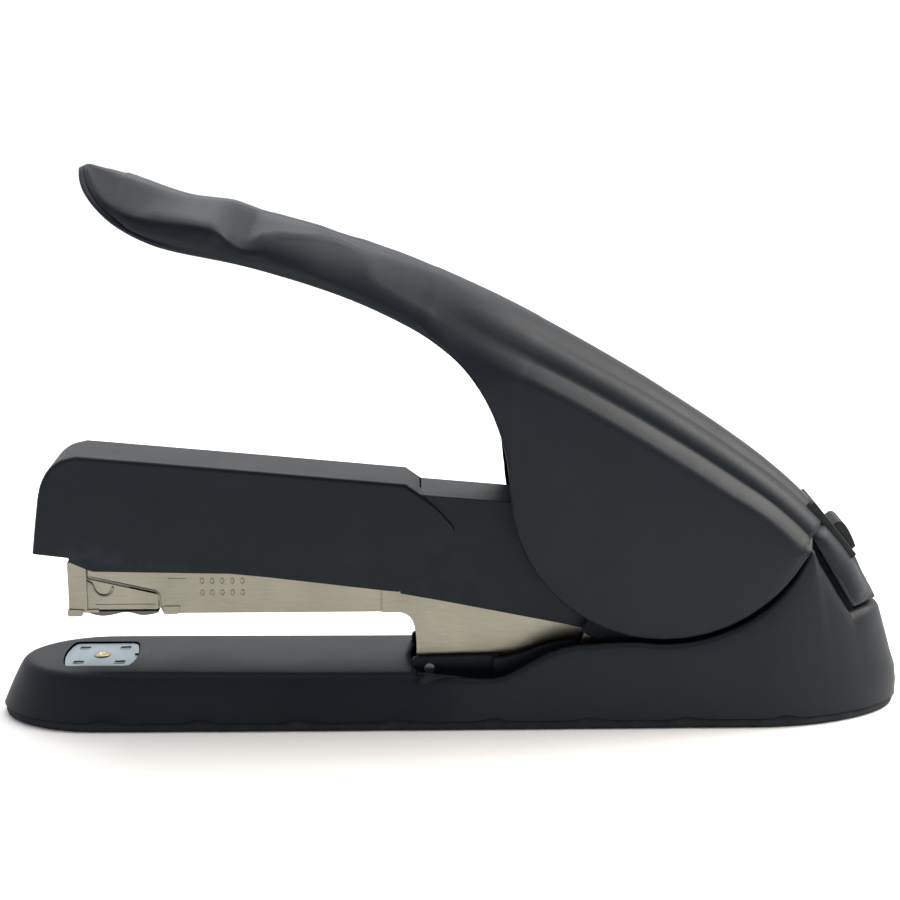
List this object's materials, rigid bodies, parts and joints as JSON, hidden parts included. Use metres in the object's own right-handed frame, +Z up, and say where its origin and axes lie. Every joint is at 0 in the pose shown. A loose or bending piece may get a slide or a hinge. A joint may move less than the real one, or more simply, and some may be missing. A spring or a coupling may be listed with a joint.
{
  "type": "stapler",
  "caption": "Long-handled desktop stapler: low base with anvil, hinged magazine arm and head, arched press handle with cheeks, and front-loading staple drawer.",
  "frame": {"origin": "on the ground under the middle of the base", "axes": "+Z up, the jaw opens towards -X, symmetric about Y = 0"},
  "size_m": [0.2289, 0.0386, 0.1384],
  "materials": {
    "black_plastic": "fine matt moulded grain",
    "dark_plastic": "smooth satin",
    "sole_rubber": "matt anti-slip rubber",
    "nickel_steel": "nickel plated, satin, slightly warm",
    "bright_steel": "bright satin, slightly blue",
    "blued_steel": "blued spring steel",
    "zinc_steel": "zinc plated"
  },
  "bodies": {
    "root": {"base_shell": "black_plastic", "base_sole": "sole_rubber", "base_frame": "nickel_steel", "base_screw_1": "zinc_steel", "base_screw_2": "zinc_steel", "base_screw_3": "zinc_steel", "base_screw_4": "zinc_steel", "guide_stud_right": "zinc_steel", "guide_stud_left": "zinc_steel", "handle_pin": "zinc_steel", "arm_pin": "zinc_steel", "handle_spring": "zinc_steel", "magazine_spring": "zinc_steel", "anvil_spring": "zinc_steel"},
    "anvil": {"anvil_plate": "bright_steel", "anvil_post": "bright_steel", "anvil_button": "dark_plastic"},
    "handle": {"handle_shell": "black_plastic", "handle_lever": "nickel_steel", "lever_screw_1": "zinc_steel", "lever_screw_2": "zinc_steel", "lever_roller": "zinc_steel", "roller_pin": "zinc_steel", "button_bezel": "dark_plastic", "button_leaf_spring": "blued_steel"},
    "release_button": {"release_button": "dark_plastic"},
    "drive_arm": {"head_cover": "black_plastic", "rear_housing": "black_plastic", "drive_arm": "nickel_steel", "driver_blade": "bright_steel"},
    "magazine": {"magazine_sheath": "nickel_steel", "arm_plate_right": "nickel_steel", "arm_plate_left": "nickel_steel", "arm_crossbar": "nickel_steel", "drive_spring": "zinc_steel"},
    "staple_drawer": {"nose_piece": "nickel_steel", "staple_rail": "nickel_steel", "nose_leaf_spring": "blued_steel", "follower_spring": "zinc_steel"},
    "staple_follower": {"staple_follower": "blued_steel"}
  },
  "joints": [
    {"name": "handle_press", "type": "hinge", "parent": "root", "child": "handle", "pos_m": [0.0527, 0, 0.061], "axis": [0, -1, 0], "range_deg": [0, 24], "stiffness_Nm_per_rad": 0.9, "springref_deg": -28.65},
    {"name": "drive_arm_swing", "type": "hinge", "parent": "root", "child": "drive_arm", "pos_m": [0.082, 0, 0.03], "axis": [0, -1, 0], "range_deg": [0, 7.98], "stiffness_Nm_per_rad": 1.5, "springref_deg": -17.19, "deforming": ["drive_spring"]},
    {"name": "magazine_swing", "type": "hinge", "parent": "root", "child": "magazine", "pos_m": [0.082, 0, 0.03], "axis": [0, -1, 0], "range_deg": [0, 4.35], "stiffness_Nm_per_rad": 1.5, "springref_deg": -17.19, "deforming": ["magazine_spring"]},
    {"name": "staple_drawer_slide", "type": "slide", "parent": "magazine", "child": "staple_drawer", "axis": [1, 0, 0], "range_m": [-0.09, 0]},
    {"name": "follower_slide", "type": "slide", "parent": "staple_drawer", "child": "staple_follower", "axis": [1, 0, 0], "range_m": [0, 0.09], "stiffness_N_per_m": 12, "springref_m": -0.03},
    {"name": "anvil_lift", "type": "slide", "parent": "root", "child": "anvil", "axis": [0, 0, -1], "range_m": [-0.002, 0], "stiffness_N_per_m": 300, "springref_m": 0.004, "deforming": ["anvil_spring"]},
    {"name": "release_button_push", "type": "slide", "parent": "handle", "child": "release_button", "axis": [-0.7665, 0, -0.6422], "range_m": [0, 0.0025], "stiffness_N_per_m": 400, "springref_m": -0.002}
  ],
  "couplings": [
    {"joint": "drive_arm_swing", "follows": "handle_press", "ratio": 0.3325},
    {"joint": "magazine_swing", "follows": "handle_press", "ratio": 0.18125}
  ]
}
